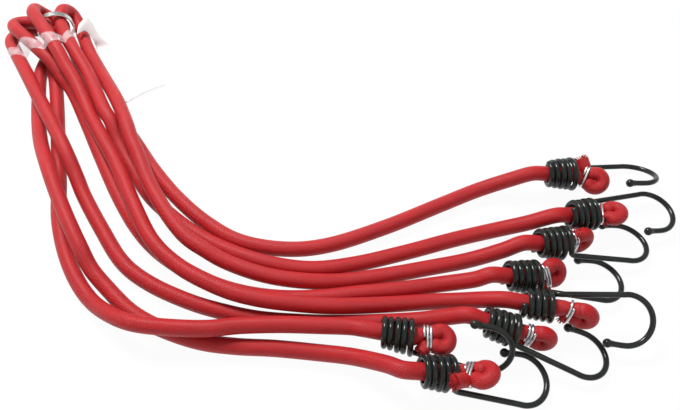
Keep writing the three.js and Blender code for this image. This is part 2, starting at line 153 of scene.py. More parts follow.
# Clip: it sits CLIP_SETBACK before the bulb's centre, or at least CLIP_CLEARANCE from the loop's start
CLIP_WIRE_DIAMETER = 1.25 * MM
CLIP_PITCH = 1.6 * MM
CLIP_STEPS = 36
CLIP_SIDES = 10
CLIP_EXTRA_TURN_SHARE = 0.15
CLIP_CORNER_SHARPNESS = 3
CLIP_SETBACK = 6 * MM
CLIP_CLEARANCE = 1.2 * MM

# Ring
RING_INNER_RADIUS = 10.2 * MM
RING_THICKNESS = 0.8 * MM
RING_WIDTH = 3.7 * MM
RING_EDGE = 0.25 * MM
RING_SIDES = 96
RING_CREASE = math.radians(30)
RING_CENTRE = Vector((-174.4, 125, 10.9)) * MM
RING_HEADING = math.radians(-68.8)

# Tape: its route as seen from above. Rays from CAST_HEIGHT find the cords' tops, and beside them it falls no
# more steeply than TAPE_STEEPEST_SLOPE
TAPE_WIDTH = 8 * MM
TAPE_THICKNESS = 0.16 * MM
TAPE_STEPS = 8
TAPE_ROWS = 12
TAPE_LIFT = 0.25 * MM
TAPE_STEEPEST_SLOPE = 1.4
CAST_HEIGHT = 60 * MM
TAPE_ROUTE = (
    (-200.8, 104.3), (-197, 103.8), (-193.4, 102.9), (-187, 102), (-181.2, 101.2), (-174, 99.3),
    (-167.5, 99.2), (-163.6, 102), (-162, 106.5), (-160.5, 111), (-158.8, 115),
)

# Tag: points on its left and right edges, from the end that curls over cord a to the flat end. Its middle
# stands above its edges by TAG_BELLY_SHARE of its width
TAG_THICKNESS = 0.3 * MM
TAG_STEPS = 5
TAG_FLAT_SPANS = 5
TAG_COLUMNS = 14
TAG_BELLY_SHARE = 0.05
TAG_EDGES = (
    ((-160.3, 118.6, 11), (-159.9, 126.2, 13)),
    ((-156, 122.7, 10.4), (-155, 130.6, 14)),
    ((-151.8, 119.6, 6), (-147.9, 122.2, 7)),
    ((-150.4, 117, 1.9), (-138.4, 117, 2.2)),
    ((-146.4, 108, 0.5), (-131, 110.5, 0.5)),
    ((-125, 72, 0.4), (-104, 87, 0.4)),
)

# Place of each hook, as in the CAD source: where the cord enters its coil, the coil's heading, slope, roll
# and radius at its far end, and its end loop's length, heading, rise and twist, with the side of its tail
HOOKS = (
    {"entry": (107.5, 11.5, 12), "yaw": 3, "pitch": -4.5, "roll": -30, "flare": 7.8,
     "loop": {"length": 9, "yaw": -30, "rise": 0, "twist": 0, "tail": 1}},
    {"entry": (113.5, -15.5, 13.5), "yaw": 9.5, "pitch": -9.5, "roll": 0, "flare": 7.4,
     "loop": {"length": 6.4, "yaw": -16, "rise": 20, "twist": 150, "tail": 1}},
    {"entry": (96, -31, 12), "yaw": 6, "pitch": -10, "roll": 172, "flare": 7.8,
     "loop": {"length": 6, "yaw": 16, "rise": 4, "twist": 75, "tail": 1}},
    {"entry": (78.5, -49, 12), "yaw": 2, "pitch": -10, "roll": 174, "flare": 7.6,
     "loop": {"length": 7, "yaw": 24, "rise": 4, "twist": 0, "tail": -1}},
    {"entry": (83, -64.5, 15), "yaw": -9.5, "pitch": -1.5, "roll": 33, "flare": 6.4,
     "loop": {"length": 10, "yaw": -12, "rise": 0, "twist": 80, "tail": -1}},
    {"entry": (65, -73, 13.5), "yaw": -15.5, "pitch": -11.5, "roll": 172, "flare": 7,
     "loop": {"length": 9.5, "yaw": 4, "rise": 4, "twist": 80, "tail": -1}},
    {"entry": (18.5, -77.5, 12), "yaw": -10.5, "pitch": -1.5, "roll": 236, "flare": 7.6,
     "loop": {"length": 9.5, "yaw": 8, "rise": 0, "twist": 0, "tail": -1}},
    {"entry": (34.5, -97, 14.5), "yaw": -0.5, "pitch": -12, "roll": 183, "flare": 7.6,
     "loop": {"length": 11.5, "yaw": -14, "rise": 41, "twist": -15, "tail": -1}},
)

# Route of each cord between its two coils, as in the CAD source
CORDS = {
    "a": {"from": 2, "to": 3, "points": (
        (93, -18, 10), (75.5, -19.5, 5), (56.5, -24, 4), (32, -31.5, 4), (7.5, -38, 4), (-14.5, -41, 4.5),
        (-36.5, -38, 5.5), (-56.5, -30.5, 5.5), (-72.5, -21, 5), (-86.5, -9.5, 4), (-100, 4, 4),
        (-113.5, 24.5, 4), (-121.5, 37.5, 6.5), (-126, 48, 11.5), (-132, 57.5, 12.5), (-144.5, 81.5, 12.5),
        (-156, 99.5, 15.5), (-164, 112.5, 15.5), (-170.8, 126, 14.8), (-171.5, 132.5, 15.5),
        (-171.5, 137, 14.5), (-170, 140.5, 11), (-167.5, 140, 7), (-163, 132.5, 4), (-154, 113, 4),
        (-142, 92.5, 5), (-126.5, 65.5, 11.5), (-117, 46, 14), (-111.5, 33, 14), (-106, 22, 13),
        (-98.5, 6, 12.5), (-87.5, -12, 12.5), (-76, -26.5, 12), (-65.5, -34, 11), (-54, -40, 9),
        (-37, -46, 8), (-19, -48.5, 6.5), (0, -47.5, 4), (21.5, -44.5, 4), (44, -40, 4), (62.5, -36.5, 5),
        (78.5, -34, 10),
    )},
    "b": {"from": 1, "to": 5, "points": (
        (89.5, 9.5, 10), (72, 6, 5), (51.5, -3, 4), (23, -16.5, 4), (-5, -27, 4), (-27, -29.5, 4),
        (-50, -25, 4), (-68.5, -13.5, 4), (-85.5, 2.5, 4), (-100.5, 21, 4), (-111, 36.5, 4),
        (-118.5, 46.5, 4), (-129.5, 56, 4), (-139.5, 68.5, 4), (-151, 89.5, 4), (-163, 113, 5.5),
        (-170.7, 126, 6.8), (-173.5, 133, 7), (-179.5, 136, 8.5), (-184, 135.8, 12.9), (-186.2, 133.2, 18.2),
        (-185, 127.3, 21.4), (-182, 121.4, 23.8), (-175, 111.5, 24), (-163.5, 95, 22), (-157.5, 85.5, 18.5),
        (-151, 76, 15.5), (-144.5, 64.5, 13), (-138, 52, 11.5), (-126.5, 33, 12), (-116, 15.5, 11.5),
        (-103.5, -9, 12), (-91, -30, 12), (-75.5, -44.5, 12), (-55.5, -55.5, 12), (-39, -60.5, 11.5),
        (-21, -62.5, 10), (-2.5, -63, 8.5), (21, -61, 6), (42.5, -59, 5), (56, -59.5, 7), (66.5, -61.5, 12),
    )},
    "c": {"from": 7, "to": 4, "points": (
        (4, -74.5, 11), (-9, -74, 11), (-27, -73.5, 11), (-45, -74, 11), (-60.5, -76, 12),
        (-78.5, -75.5, 12.5), (-93.5, -73.5, 12.5), (-105.5, -67.5, 9), (-117, -58.5, 4.5),
        (-127, -46.5, 4), (-136, -30.5, 4), (-143.5, -11, 4), (-149, 13.5, 4), (-155, 37.5, 4),
        (-161.5, 63.5, 4), (-167, 84, 4.5), (-170, 94.5, 8), (-172.5, 109, 13), (-178.5, 123, 14.5),
        (-183, 127, 12.9), (-188.6, 128.4, 12.1), (-193.6, 128.6, 12), (-197.2, 126.6, 12.9),
        (-197.9, 122.8, 14.6), (-195.4, 118.2, 16.2), (-189.8, 112.2, 17.5), (-174.3, 97.3, 17),
        (-166.5, 90, 14), (-160, 82, 10), (-153, 73, 6.5), (-141.5, 51.5, 4), (-129.5, 28.5, 4),
        (-115, 2, 4), (-101, -19, 4), (-86, -34, 4), (-65, -47, 4),
        (-47.5, -53.5, 4), (-28.5, -56.5, 4), (-9.5, -56.5, 4.5), (9.5, -54.5, 5), (28.5, -52.5, 5),
        (47.5, -50, 5.5), (63, -50, 10),
    )},
    "d": {"from": 8, "to": 6, "points": (
        (19.5, -93, 13), (5.5, -87, 6.5), (-10, -84, 4), (-29.5, -82, 4), (-47.5, -81, 4),
        (-64.5, -78.5, 4), (-83, -72, 4), (-98, -63.5, 4), (-111.5, -51, 4), (-120.5, -41.5, 6),
        (-126.5, -32, 10.5), (-136, -16, 12.5), (-145, 0.5, 12.5), (-153.5, 17, 12), (-163, 36, 7.5),
        (-170, 54.5, 4), (-174.5, 73, 4), (-178, 92, 4), (-176, 108, 5.5), (-177.5, 119.5, 6.6),
        (-178.8, 125.5, 6.6), (-183.5, 129.5, 4.8), (-190, 131, 4), (-197, 129.5, 4), (-201.5, 124.5, 4.5),
        (-201.5, 118, 6), (-197, 109.5, 7.5), (-181.5, 84.5, 11.5), (-168, 62.5, 12.5), (-155.5, 42.5, 12.5),
        (-146, 26.5, 12), (-139, 13.5, 7.5), (-133, 2, 4.5), (-120.5, -17.5, 4), (-106.5, -37, 4),
        (-91, -49, 4), (-71, -58.5, 4), (-53.5, -64, 4), (-37, -67.5, 4), (-18.5, -69, 4), (0, -69.5, 4),
        (18.5, -69, 4), (36, -69, 6), (50, -70, 12),
    )},
}

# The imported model's origin lies under its middle: the first hook's joint tells how far the source's points
# have moved
SHIFT = Vector(frame["joints"][0]["pos_m"]) - Vector(HOOKS[0]["entry"]) * MM

# Looks of the materials, in groups below: shades are (place on the ramp, colour) pairs, ranges are (least,
# most), and what is in braces goes into the sockets of one node

# Braid: it follows the (around, along) pairs in a mesh's LIE_LAYER. Blender's wave turns WAVE_RADIANS a unit
LIE_LAYER = "lie"
WAVE_RADIANS = 20
BRAID_STRANDS = 26
BRAID_SLANT = math.radians(45)
# Painted shade: the weave's ramp darkens the red in the valleys between the strands and keeps it full on
# their crowns
BRAID_VALLEY_PAINTED_SHADES = ((0.0, (0.34, 0.002, 0.005)), (0.4, (0.68, 0.006, 0.012)), (1.0, (0.93, 0.019, 0.025)))
BRAID_TONES = ((0.3, (0.88, 0.84, 0.84)), (0.7, WHITE))
BRAID_STREAKS = ((0.3, (0.84, 0.80, 0.80)), (0.65, WHITE))
BRAID_WAVE = {"Distortion": 0.5, "Detail": 1.0}
BRAID_PATCHES = {"Scale": 55.0, "Detail": 3.0, "Roughness": 0.6}
YARN_STRETCH = {"Scale": (46, 1.6, 1)}
YARN_NOISE = {"Scale": 1.0, "Detail": 2.0, "Roughness": 0.6}
FUZZ_NOISE = {"Scale": 1400.0, "Detail": 3.0, "Roughness": 0.7}
FUZZ_SHARE = 0.35
BRAID_BUMP = {"Distance": 0.22 * MM, "Strength": 0.8}
BRAID_SHADER = {
    "Roughness": 0.42,
    "Specular IOR Level": 0.42,
    "Sheen Weight": 0.08,
    "Sheen Roughness": 0.4,
    "Sheen Tint": (1.0, 0.5, 0.5, 1.0),
}

# Coating of the hooks
COATING_SHADES = ((0.35, (0.012, 0.015, 0.013)), (0.7, (0.022, 0.026, 0.023)))
COATING_RIPPLES = {"Scale": 260.0, "Detail": 2.0, "Roughness": 0.5}
COATING_PATCHES = {"Scale": 90.0, "Detail": 4.0, "Roughness": 0.65}
COATING_ROUGHNESS_RANGE = (0.1, 0.26)
COATING_BUMP = {"Distance": 0.12 * MM, "Strength": 0.5}
COATING_SHADER = {"Specular IOR Level": 0.32}

# Steel of the clips and the ring
CLIP_STEEL_SHADES = ((0.3, (0.55, 0.56, 0.57)), (0.65, (0.86, 0.87, 0.88)))
CLIP_STEEL_SCRATCHES = {"Scale": 700.0, "Detail": 5.0, "Roughness": 0.7}
CLIP_STEEL_ROUGHNESS_RANGE = (0.2, 0.4)
RING_STEEL_SHADES = ((0.3, (0.52, 0.55, 0.51)), (0.65, (0.90, 0.91, 0.89)))
RING_STEEL_SCRATCHES = {"Scale": 300.0, "Detail": 5.0, "Roughness": 0.7}
RING_STEEL_ROUGHNESS_RANGE = (0.14, 0.34)
STEEL_BUMP = {"Distance": 0.05 * MM, "Strength": 0.6}
STEEL_SHADER = {"Metallic": 1.0}

# Film of the tape
TAPE_SHADES = ((0.3, (0.86, 0.62, 0.65)), (0.7, (0.93, 0.84, 0.85)))
TAPE_CREASES = {"Scale": 240.0, "Detail": 3.0, "Roughness": 0.5}
TAPE_VEIL_RANGE = (0.06, 0.42)
TAPE_BUMP = {"Distance": 0.2 * MM, "Strength": 0.6}
TAPE_SHADER = {"Roughness": 0.12}

# Card of the tag: painted shade greys it more the higher it stands, and it is greyest where it stands
# CURL_HEIGHT high
CURL_HEIGHT = 11 * MM
CARD_SHADES = ((0.3, (0.90, 0.885, 0.875)), (0.7, (0.96, 0.955, 0.95)))
# Painted shade: these greys darken the card by its height, most at its raised curl
CARD_PAINTED_SHADE_SHADES = ((0.1, (0.94, 0.94, 0.94)), (0.8, (0.70, 0.66, 0.65)))
CARD_FIBRES = {"Scale": 900.0, "Detail": 4.0, "Roughness": 0.7}
CARD_BUMP = {"Distance": 0.04 * MM, "Strength": 0.5}
CARD_SHADER = {"Roughness": 0.45}

# Floor
FLOOR_DIFFUSE = {"Color": (0.9, 0.9, 0.9, 1.0)}
FLOOR_GLOW = {"Strength": 1.0}
FLOOR_GLOW_SHARE = 0.955


# Geometry
def catmull(points, steps):
    """A smooth line through the points, with as many steps from each to the next."""
    line = []
    count = len(points)
    for i in range(count - 1):
        here, there = points[i], points[i + 1]
        before = points[i - 1] if i > 0 else 2 * here - there
        after = points[i + 2] if i + 2 < count else 2 * there - here
        start_slope, end_slope = (there - before) / 2, (after - here) / 2
        for k in range(steps):
            t = k / steps
            line.append(
                (2 * here - 2 * there + start_slope + end_slope) * t ** 3
                + (3 * there - 3 * here - 2 * start_slope - end_slope) * t ** 2
                + start_slope * t + here
            )
    return line + [points[-1].copy()]


def mesh_object(name, vertices, faces, uvs=None):
    """A smooth-shaded mesh; uvs holds one (around, along) pair for each corner of each face."""
    mesh = bpy.data.meshes.new(name)
    mesh.from_pydata(vertices, [], faces)
    if uvs is not None:
        layer = mesh.uv_layers.new(name=LIE_LAYER)
        for loop, uv in zip(layer.data, (uv for face in uvs for uv in face)):
            loop.uv = uv
    mesh.shade_smooth()
    mesh.update()
    made = bpy.data.objects.new(name, mesh)
    bpy.context.scene.collection.objects.link(made)
    return made


def sweep(centres, radii, sides):
    """Vertices, faces and (around, along) pairs of a closed round tube; along counts tube girths."""
    vertices, faces, uvs = [], [], []
    last = len(centres) - 1
    headings = [(centres[min(i + 1, last)] - centres[max(i - 1, 0)]).normalized() for i in range(last + 1)]
    across = headings[0].orthogonal().normalized()
    girth = math.tau * max(radii)
    along = 0
    lengths = []
    for i, centre in enumerate(centres):
        if i > 0:
            across = headings[i - 1].rotation_difference(headings[i]) @ across
            along += (centre - centres[i - 1]).length
        across = (across - headings[i] * across.dot(headings[i])).normalized()
        other = headings[i].cross(across)
        lengths.append(along / girth)
        for k in range(sides):
            angle = math.tau * k / sides
            vertices.append(centre + (across * math.cos(angle) + other * math.sin(angle)) * radii[i])
    for i in range(last):
        here, there = lengths[i], lengths[i + 1]
        for k in range(sides):
            a, b = i * sides + k, i * sides + (k + 1) % sides
            faces.append((a, b, b + sides, a + sides))
            left, right = k / sides, (k + 1) / sides
            uvs.append(((left, here), (right, here), (right, there), (left, there)))
    for row, order in ((0, -1), (last, 1)):
        faces.append(tuple(row * sides + k for k in range(sides))[::order])
        uvs.append(tuple((k / sides, lengths[row]) for k in range(sides))[::order])
    return vertices, faces, uvs


def tube(name, centres, radius, sides):
    return mesh_object(name, *sweep(centres, [radius] * len(centres), sides))


def joined(parts):
    """One set of vertices, faces and (around, along) pairs from several."""
    vertices, faces, uvs = [], [], []
    for more, more_faces, more_uvs in parts:
        start = len(vertices)
        vertices += more
        faces += [tuple(start + v for v in face) for face in more_faces]
        uvs += more_uvs
    return vertices, faces, uvs


def sheet(name, grid, thickness):
    """A thin closed sheet through a grid of points, row after row."""
    last_row, last_column = len(grid) - 1, len(grid[0]) - 1
    upper, lower = [], []
    for i, row in enumerate(grid):
        for k, point in enumerate(row):
            across = row[min(k + 1, last_column)] - row[max(k - 1, 0)]
            along = grid[min(i + 1, last_row)][k] - grid[max(i - 1, 0)][k]
            normal = across.cross(along).normalized()
            if normal.z < 0:
                normal.negate()
            upper.append(point + normal * thickness / 2)
            lower.append(point - normal * thickness / 2)
    width = last_column + 1
    count = len(upper)
    faces = []
    for i in range(last_row):
        for k in range(last_column):
            a = i * width + k
            faces.append((a, a + width, a + width + 1, a + 1))
            faces.append((count + a, count + a + 1, count + a + width + 1, count + a + width))
    rim = list(range(last_column)) + [i * width + last_column for i in range(last_row)]
    rim += [last_row * width + last_column - k for k in range(last_column)]
    rim += [(last_row - i) * width for i in range(last_row)]
    for here, there in zip(rim, rim[1:] + rim[:1]):
        faces.append((here, there, count + there, count + here))
    made = mesh_object(name, upper + lower, faces)
    make_faces_point_out(made)
    return made


def lathe(name, profile, sides, place):
    """A closed turned piece: profile is (along, radius) pairs, place takes x as its axis."""
    vertices, faces = [], []
    for along, radius in profile:
        for k in range(sides):
            angle = math.tau * k / sides
            vertices.append(place @ Vector((along, radius * math.cos(angle), radius * math.sin(angle))))
    rows = len(profile)
    for i in range(rows):
        following = (i + 1) % rows
        for k in range(sides):
            j = (k + 1) % sides
            faces.append((i * sides + k, i * sides + j, following * sides + j, following * sides + k))
    made = mesh_object(name, vertices, faces)
    make_faces_point_out(made)
    return made


def make_faces_point_out(made):
    work = bmesh.new()
    work.from_mesh(made.data)
    bmesh.ops.recalc_face_normals(work, faces=work.faces)
    work.to_mesh(made.data)
    work.free()


def dress(piece, material, body, slot, *nodes):
    """Gives a piece its material, and says its body and the CAD nodes that it stands for, which it hides. The
    slot is not used.
    """
    piece.data.materials.append(material)
    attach(piece, body)
    if nodes:
        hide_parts(*nodes)


# Frames of a hook's coil and end loop
def turn(degrees, axis):
    return Matrix.Rotation(math.radians(degrees), 4, axis)


def coil_frame(hook):
    entry = Vector(hook["entry"]) * MM + SHIFT
    return Matrix.Translation(entry) @ turn(hook["yaw"], "Z") @ turn(-hook["pitch"], "Y")


def loop_frame(number):
    hook = HOOKS[number - 1]
    loop = hook["loop"]
    step = Matrix.Translation((COIL_LENGTH + LOOP_ROOT, 0, 0))
    twist = turn(loop["twist"] + LOOP_LOOKS[number - 1]["twist"], "X")
    return coil_frame(hook) @ step @ turn(loop["yaw"], "Z") @ turn(-loop["rise"], "Y") @ twist


# Node helpers
def new_material(name):
    made = bpy.data.materials.new(name)
    made.use_nodes = True
    return made, made.node_tree, made.node_tree.nodes["Principled BSDF"]


def set_inputs(node, values):
    for socket, value in values.items():
        node.inputs[socket].default_value = value


def add_node(tree, kind, values, sources):
    """A node with these values on its sockets, and these other nodes' outputs linked into them."""
    made = tree.nodes.new(kind)
    set_inputs(made, values)
    for socket, source in sources.items():
        tree.links.new(source, made.inputs[socket])
    return made


def add_noise(tree, vector, values):
    return add_node(tree, "ShaderNodeTexNoise", values, {"Vector": vector}).outputs["Fac"]


def add_range(tree, value, ends):
    least, most = ends
    made = add_node(tree, "ShaderNodeMapRange", {"To Min": least, "To Max": most}, {"Value": value})
    return made.outputs["Result"]


def add_math(tree, operation, *terms):
    """A Math node's result; each term is a number or another node's output."""
    made = tree.nodes.new("ShaderNodeMath")
    made.operation = operation
    for socket, term in zip(made.inputs, terms):
        if isinstance(term, float):
            socket.default_value = term
        else:
            tree.links.new(term, socket)
    return made.outputs[0]


def add_ramp(tree, share, stops):
    made = add_node(tree, "ShaderNodeValToRGB", {}, {"Fac": share})
    elements = made.color_ramp.elements
    while len(elements) < len(stops):
        elements.new(stops[-1][0])
    for element, (position, color) in zip(elements, stops):
        element.position = position
        element.color = (*color, 1)
    return made.outputs["Color"]


def multiply_colors(tree, first, second):
    mix = tree.nodes.new("ShaderNodeMix")
    mix.data_type = "RGBA"
    mix.blend_type = "MULTIPLY"
    set_inputs(mix, {"Factor": 1.0})
    tree.links.new(first, mix.inputs["A"])
    tree.links.new(second, mix.inputs["B"])
    return mix.outputs["Result"]


def object_place(tree):
    return tree.nodes.new("ShaderNodeTexCoord").outputs["Object"]


def finish_shader(tree, shader, color, height, bump_values, shader_values):
    """Links a colour and a bump of this height into the shader, and sets its other sockets."""
    bump = add_node(tree, "ShaderNodeBump", bump_values, {"Height": height})
    tree.links.new(color, shader.inputs["Base Color"])
    tree.links.new(bump.outputs["Normal"], shader.inputs["Normal"])
    set_inputs(shader, shader_values)


# Materials
def braid_material():
    """Fine red braid: two sets of strands cross at a slant, with painted shade in the valleys between them,
    fuzz and slow changes of tone.
    """
    made, tree, shader = new_material("cord_braid")
    lie = tree.nodes.new("ShaderNodeUVMap")
    lie.uv_map = LIE_LAYER
    source = {"Vector": lie.outputs["UV"]}
    wave_values = {**BRAID_WAVE, "Scale": BRAID_STRANDS * math.tau / (WAVE_RADIANS * math.cos(BRAID_SLANT))}
    strands = []
    for side in (1, -1):
        slant = add_node(tree, "ShaderNodeMapping", {"Rotation": (0, 0, side * BRAID_SLANT)}, source)
        wave = add_node(tree, "ShaderNodeTexWave", wave_values, {"Vector": slant.outputs["Vector"]})
        strands.append(wave.outputs["Fac"])
    weave = add_math(tree, "MULTIPLY", *strands)
    drawn_out = add_node(tree, "ShaderNodeMapping", YARN_STRETCH, source)
    yarns = add_noise(tree, drawn_out.outputs["Vector"], YARN_NOISE)
    place = object_place(tree)
    fuzz = add_noise(tree, place, FUZZ_NOISE)
    patches = add_noise(tree, place, BRAID_PATCHES)
    # Painted shade in the braid's valleys, times random patches of tone
    toned = multiply_colors(tree, add_ramp(tree, weave, BRAID_VALLEY_PAINTED_SHADES), add_ramp(tree, patches, BRAID_TONES))
    color = multiply_colors(tree, toned, add_ramp(tree, yarns, BRAID_STREAKS))
    height = add_math(tree, "MULTIPLY_ADD", fuzz, FUZZ_SHARE, weave)
    finish_shader(tree, shader, color, height, BRAID_BUMP, BRAID_SHADER)
    return made


def coating_material():
    """Glossy black plastic coating with faint ripples, worn duller in patches."""
    made, tree, shader = new_material("black_coating")
    place = object_place(tree)
    ripples = add_noise(tree, place, COATING_RIPPLES)
    patches = add_noise(tree, place, COATING_PATCHES)
    tree.links.new(add_range(tree, patches, COATING_ROUGHNESS_RANGE), shader.inputs["Roughness"])
    color = add_ramp(tree, patches, COATING_SHADES)
    finish_shader(tree, shader, color, ripples, COATING_BUMP, COATING_SHADER)
    return made


def steel_material(name, shades, scratches_values, roughness_range):
    """Bright steel with fine drawn scratches and a little grime."""
    made, tree, shader = new_material(name)
    scratches = add_noise(tree, object_place(tree), scratches_values)
    tree.links.new(add_range(tree, scratches, roughness_range), shader.inputs["Roughness"])
    finish_shader(tree, shader, add_ramp(tree, scratches, shades), scratches, STEEL_BUMP, STEEL_SHADER)
    return made


def tape_material():
    """Clear film over red cord: it veils what is under it with a pinkish white and shines."""
    made, tree, shader = new_material("tape_film")
    creases = add_noise(tree, object_place(tree), TAPE_CREASES)
    tree.links.new(add_range(tree, creases, TAPE_VEIL_RANGE), shader.inputs["Alpha"])
    finish_shader(tree, shader, add_ramp(tree, creases, TAPE_SHADES), creases, TAPE_BUMP, TAPE_SHADER)
    return made


def card_material():
    """White coated card with a faint fibre grain, and painted shade that greys it at its raised curl."""
    made, tree, shader = new_material("white_card")
    place = object_place(tree)
    fibres = add_noise(tree, place, CARD_FIBRES)
    apart = add_node(tree, "ShaderNodeSeparateXYZ", {}, {"Vector": place})
    height = add_node(tree, "ShaderNodeMapRange", {"From Max": CURL_HEIGHT}, {"Value": apart.outputs["Z"]})
    # Painted shade, greyer the higher the card stands
    curl_painted_shade = add_ramp(tree, height.outputs["Result"], CARD_PAINTED_SHADE_SHADES)
    color = multiply_colors(tree, add_ramp(tree, fibres, CARD_SHADES), curl_painted_shade)
    finish_shader(tree, shader, color, fibres, CARD_BUMP, CARD_SHADER)
    return made


def floor_material():
    """White to the camera and in reflections, and it still takes part of the strap's shadow."""
    made = bpy.data.materials.new("white_floor")
    made.use_nodes = True
    tree = made.node_tree
    tree.nodes.clear()
    rays = tree.nodes.new("ShaderNodeLightPath").outputs
    through = add_math(tree, "MAXIMUM", rays["Is Glossy Ray"], rays["Is Transmission Ray"])
    seen = add_math(tree, "MAXIMUM", rays["Is Camera Ray"], through)
    share = add_math(tree, "MULTIPLY", seen, FLOOR_GLOW_SHARE)
    matte = add_node(tree, "ShaderNodeBsdfDiffuse", FLOOR_DIFFUSE, {})
    glow = add_node(tree, "ShaderNodeEmission", FLOOR_GLOW, {})
    mixed = add_node(tree, "ShaderNodeMixShader", {}, {"Fac": share})
    tree.links.new(matte.outputs[0], mixed.inputs[1])
    tree.links.new(glow.outputs[0], mixed.inputs[2])
    add_node(tree, "ShaderNodeOutputMaterial", {}, {"Surface": mixed.outputs[0]})
    return made


BRAID = braid_material()
COATING = coating_material()
CLIP_STEEL = steel_material(
    "clip_steel_wire", CLIP_STEEL_SHADES, CLIP_STEEL_SCRATCHES, CLIP_STEEL_ROUGHNESS_RANGE,
)
RING_STEEL = steel_material(
    "ring_steel_plate", RING_STEEL_SHADES, RING_STEEL_SCRATCHES, RING_STEEL_ROUGHNESS_RANGE,
)
TAPE = tape_material()
CARD = card_material()


# Camera
def make_camera():
    back = Vector((0, -math.cos(CAMERA_ELEVATION), math.sin(CAMERA_ELEVATION)))
    data = bpy.data.cameras.new("camera")
    data.lens = CAMERA_LENS
    data.sensor_width = SENSOR_WIDTH
    camera = bpy.data.objects.new("camera", data)
    camera.location = SHIFT + back * CAMERA_DISTANCE
    camera.rotation_euler = (-back).to_track_quat("-Z", "Y").to_euler()
    bpy.context.scene.collection.objects.link(camera)
    bpy.context.scene.camera = camera


# Cords
def cord_line(cord):
    straight = (COIL_LENGTH - CORD_SETBACK, 0, -LEAD_IN)
    first, last = (
        [coil_frame(HOOKS[cord[key] - 1]) @ Vector((x, 0, 0)) for x in straight] for key in ("from", "to")
    )
    middle = [Vector(point) * MM + SHIFT for point in cord["points"]]
    return catmull(first + middle + last[::-1], STEPS_PER_SPAN)


def make_cords():
    pieces = []
    for name, cord in CORDS.items():
        line = cord_line(cord)
        piece = tube(f"cord_{name}", line, CORD_DIAMETER / 2, CORD_SIDES)
        dress(piece, BRAID, "strap", "cord_cover", f"cord_{name}_cover", f"cord_{name}_core")
        loops = [make_loop(cord[key]) for key in ("from", "to")]
        pieces.append(piece)
    return pieces


# End loops
def clip_seat(number):
    """How far along its loop a clip sits."""
    return max(HOOKS[number - 1]["loop"]["length"] * MM - CLIP_SETBACK, CLIP_CLEARANCE)


def loop_strand(number):
    """Centre line of an end loop in its own frame, and the radius at each of its points."""
    hook, looks = HOOKS[number - 1], LOOP_LOOKS[number - 1]
    length, seat = hook["loop"]["length"] * MM, clip_seat(number)
    side = -hook["loop"]["tail"]
    into_loop = loop_frame(number).inverted() @ coil_frame(hook)
    line = [into_loop @ Vector((COIL_LENGTH - step, 0, 0)) for step in ROOT_STEPS]
    first = Vector((seat, side * PINCH_RADIUS, 0))
    last = Vector((seat, -side * PINCH_RADIUS, 0))
    line.append(first)
    for i in range(BULB_STEPS + 1):
        angle = BULB_HALF_ANGLE * (1 - 2 * i / BULB_STEPS)
        line.append(Vector((length + BULB_RADIUS * math.cos(angle), side * BULB_RADIUS * math.sin(angle), 0)))
    splay = math.radians(looks["splay"])
    tail_heading = Vector((-math.cos(splay), -side * math.sin(splay), looks["lift_share"]))
    tail = tail_heading * looks["tail_length"] * MM
    line += [last, last + tail / 2, last + tail]
    line = catmull(line, STEPS_PER_SPAN)
    tail_start = len(line) - 2 * STEPS_PER_SPAN
    radii = []
    for i, point in enumerate(line):
        beyond = (point.x - seat) / SWELL_REACH
        if i > tail_start:
            radius = TAIL_RADIUS
        elif beyond > 0:
            radius = STRAND_RADIUS + (SWELL_RADIUS - STRAND_RADIUS) * min(1, beyond)
        else:
            share = min(1, (seat - point.x) / (seat + LOOP_ROOT))
            radius = STRAND_RADIUS + (CORD_DIAMETER / 2 - STRAND_RADIUS) * share
        nearest = min((point - first).length, (point - last).length)
        radii.append(radius + (PINCH_RADIUS - radius) * math.exp(-((nearest / PINCH_REACH) ** 2)))
    return line, radii


def fray_strands(number, place, end, direction):
    """A spray of short strands round the cut end of a tail, each a swept tube."""
    across = direction.orthogonal().normalized()
    other = direction.cross(across)
    strands = []
    for i in range(FRAY_STRANDS):
        angle = i * GOLDEN_ANGLE
        share = math.sqrt((i + 1) / FRAY_STRANDS)
        radial = across * math.cos(angle) + other * math.sin(angle)
        length = FRAY_LENGTH * (FRAY_MEAN_SHARE + FRAY_VARIED_SHARE * math.sin(i * FRAY_VARIED_RATE + number))
        spread = radial * length * share * FRAY_SPREAD_SHARE
        curl = other * length * FRAY_CURL_SHARE * math.sin(i * FRAY_CURL_RATE)
        aside = radial * share * (TAIL_RADIUS - 2 * FRAY_RADIUS)
        root = end + aside - direction * FRAY_LENGTH * FRAY_ROOT_SHARE
        steps = [k / (FRAY_RINGS - 1) for k in range(FRAY_RINGS)]
        centres = [place @ (root + direction * length * t + (spread + curl) * t * t) for t in steps]
        radii = [FRAY_RADIUS * (1 - FRAY_TAPER_SHARE * t) for t in steps]
        strands.append(sweep(centres, radii, FRAY_SIDES))
    return strands


def make_loop(number):
    place = loop_frame(number)
    line, radii = loop_strand(number)
    strand = sweep([place @ point for point in line], radii, LOOP_SIDES)
    direction = (line[-1] - line[-3]).normalized()
    fray = fray_strands(number, place, line[-1], direction)
    piece = mesh_object(f"end_loop_{number}", *joined([strand, *fray]))
    dress(piece, BRAID, "strap", "cord_cover")
    return piece


# Hooks
def coil_line(flare):
    """The coil in its own frame, from where the cord enters to its far end, where its radius is flare."""
    line = []
    steps = round(COIL_TURNS * COIL_STEPS)
    for i in range(steps + 1):
        share = i / steps
        angle = COIL_LAST_ANGLE - (1 - share) * COIL_TURNS * math.tau
        sway = COIL_SWAY * math.sin(COIL_SWAY_RATE * angle + flare / SWAY_PHASE_LENGTH)
        radius = COIL_WOUND_SHARE * (COIL_ENTRY_RADIUS + (flare - COIL_ENTRY_RADIUS) * share) + sway
        line.append(Vector((COIL_LENGTH * share + sway, radius * math.sin(angle), -radius * math.cos(angle))))
    return line


